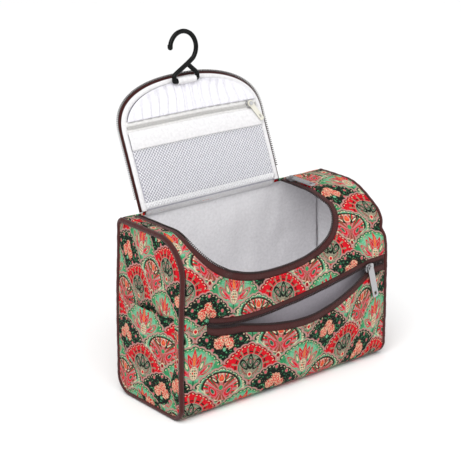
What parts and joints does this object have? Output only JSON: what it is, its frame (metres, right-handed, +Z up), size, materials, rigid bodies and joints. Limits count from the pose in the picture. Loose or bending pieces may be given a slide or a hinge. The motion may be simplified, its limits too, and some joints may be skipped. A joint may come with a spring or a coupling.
{
  "type": "hanging toiletry bag",
  "caption": "Soft box-shaped toiletry bag with a zipped lid that opens upward, a hanging hook on the lid, a zipped front pocket and a slip pocket on each end.",
  "frame": {"origin": "on the floor, in the middle of the flat base", "axes": "+X along the bag towards the end with the zip sliders, +Y from the front to the back, +Z up"},
  "size_m": [0.263, 0.1405, 0.3231],
  "materials": {
    "printed_fabric": "matt printed cotton with small dark, green, red and cream figures",
    "piping": "satin bias binding over a cord",
    "net": "white diamond net",
    "white_binding": "white folded tape",
    "gathered_cloth": "thin white gathered cloth",
    "white_zip": "white zip tape and teeth",
    "pocket_lining": "grey lilac lining cloth",
    "lining": "off-white lining cloth",
    "dark_tape": "dark brown woven zip tape",
    "dark_teeth": "satin",
    "hook_plastic": "glossy black",
    "pale_pull": "pale glossy",
    "zip_metal": "polished"
  },
  "bodies": {
    "bag": {"back_lining": "lining", "back_panel": "printed_fabric", "bottom_lining": "lining", "bottom_panel": "printed_fabric", "end_lining_left": "lining", "end_lining_right": "lining", "end_panel_left": "printed_fabric", "end_panel_right": "printed_fabric", "end_piping_left": "piping", "end_piping_right": "piping", "end_pocket_left": "printed_fabric", "end_pocket_right": "printed_fabric", "front_lining": "lining", "front_lower_panel": "printed_fabric", "front_pocket_lining": "pocket_lining", "front_upper_panel": "printed_fabric", "main_zip_tape": "dark_tape", "main_zip_teeth": "dark_teeth", "pocket_zip_tape_lower": "dark_tape", "pocket_zip_tape_upper": "dark_tape", "pocket_zip_teeth_lower": "dark_teeth", "pocket_zip_teeth_upper": "dark_teeth", "upper_lining_left": "lining", "upper_lining_right": "lining"},
    "lid_rear": {"lid_panel_rear": "printed_fabric", "lid_lining_rear": "lining", "lid_zip_tape_left": "dark_tape", "lid_zip_tape_right": "dark_tape", "lid_zip_teeth_left": "dark_teeth", "lid_zip_teeth_right": "dark_teeth", "lid_binding_rear": "white_binding", "lid_net": "net", "lid_net_band": "white_binding", "lid_pocket_zip_tape_lower": "white_zip", "lid_pocket_zip_tape_upper": "white_zip", "lid_pocket_zip_teeth": "white_zip"},
    "lid_front": {"lid_panel_front": "printed_fabric", "lid_lining_front": "lining", "lid_zip_tape_front": "dark_tape", "lid_zip_teeth_front": "dark_teeth", "lid_binding_front": "white_binding", "lid_gathered_cloth": "gathered_cloth", "hook_sleeve": "white_binding"},
    "hook": {"hook": "hook_plastic"},
    "pocket_slider": {"pocket_slider": "zip_metal"},
    "pocket_pull": {"pocket_pull": "zip_metal"},
    "main_slider": {"main_slider": "zip_metal"},
    "main_pull": {"main_pull": "zip_metal"},
    "lid_pocket_slider": {"lid_pocket_slider": "zip_metal"},
    "lid_pocket_pull": {"lid_pocket_pull": "pale_pull"}
  },
  "joints": [
    {"name": "lid_hinge", "type": "hinge", "parent": "bag", "child": "lid_rear", "pos_m": [-0.019, 0.042, 0.17], "axis": [1, 0, 0], "range_deg": [0, 112]},
    {"name": "lid_bend", "type": "hinge", "parent": "lid_rear", "child": "lid_front", "pos_m": [-0.019, 0.06437, 0.2494], "axis": [1, 0, 0], "range_deg": [0, 90]},
    {"name": "hook_turn", "type": "hinge", "parent": "lid_front", "child": "hook", "pos_m": [-0.0205, 0.07709, 0.27554], "axis": [1, 0, 0], "range_deg": [0, 100]},
    {"name": "pocket_zip_slide", "type": "slide", "parent": "bag", "child": "pocket_slider", "axis": [-0.9992, 0, -0.0412], "range_m": [0, 0.184]},
    {"name": "pocket_pull_swing", "type": "hinge", "parent": "pocket_slider", "child": "pocket_pull", "pos_m": [0.1, -0.0493, 0.097], "axis": [0, 1, 0], "range_deg": [-60, 100]},
    {"name": "main_zip_slide", "type": "slide", "parent": "bag", "child": "main_slider", "axis": [0, -1, 0], "range_m": [0, 0.036]},
    {"name": "main_pull_swing", "type": "hinge", "parent": "main_slider", "child": "main_pull", "pos_m": [0.0724, 0.032, 0.1703], "axis": [0, 0, 1], "range_deg": [0, 120]},
    {"name": "lid_zip_slide", "type": "slide", "parent": "lid_rear", "child": "lid_pocket_slider", "axis": [-1, 0, 0], "range_m": [0, 0.13]},
    {"name": "lid_pull_swing", "type": "hinge", "parent": "lid_pocket_slider", "child": "lid_pocket_pull", "pos_m": [0.048, 0.06678, 0.24336], "axis": [0, 0.9272, -0.3746], "range_deg": [-30, 60]}
  ],
  "couplings": [
    {"joint": "lid_bend", "follows": "lid_hinge", "ratio": 0.80357},
    {"joint": "hook_turn", "follows": "lid_hinge", "ratio": 0.89286}
  ]
}
